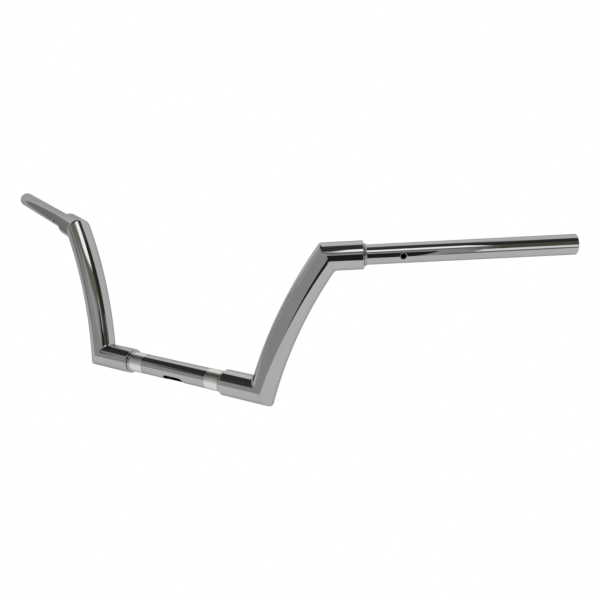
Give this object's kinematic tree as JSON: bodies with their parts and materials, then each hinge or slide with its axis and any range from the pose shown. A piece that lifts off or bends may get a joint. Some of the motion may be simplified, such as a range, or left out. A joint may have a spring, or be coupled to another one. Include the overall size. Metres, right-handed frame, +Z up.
{
  "type": "motorcycle handlebar",
  "caption": "Chromed motorcycle handlebar with mitred corners: slim knurled clamp tube, curved thick uprights, stepped stubs and slim swept-back grip tubes.",
  "frame": {"origin": "middle of the clamp tube's axis, halfway between the two knurled clamp seats", "axes": "+X along the clamp tube towards the right-hand grip, +Y back towards the rider, +Z up"},
  "size_m": [0.8674, 0.1735, 0.2027],
  "materials": {
    "polished_chrome": "mirror-polished chrome plate on steel tube, frosted where it is knurled",
    "weld_bead": "dressed weld under the same chrome plate",
    "sleeve_steel": "turned steel, left bare inside the bar"
  },
  "bodies": {
    "root": {"clamp_tube": "polished_chrome", "left_lower_step_weld": "weld_bead", "left_lower_stub": "polished_chrome", "left_lower_mitre_weld": "weld_bead", "left_upright": "polished_chrome", "left_upper_mitre_weld": "weld_bead", "left_upper_stub": "polished_chrome", "left_upper_sleeve": "sleeve_steel", "left_upper_step_weld": "weld_bead", "left_grip_tube": "polished_chrome", "right_lower_step_weld": "weld_bead", "right_lower_stub": "polished_chrome", "right_lower_mitre_weld": "weld_bead", "right_upright": "polished_chrome", "right_upper_mitre_weld": "weld_bead", "right_upper_stub": "polished_chrome", "right_upper_sleeve": "sleeve_steel", "right_upper_step_weld": "weld_bead", "right_grip_tube": "polished_chrome"}
  },
  "joints": []
}
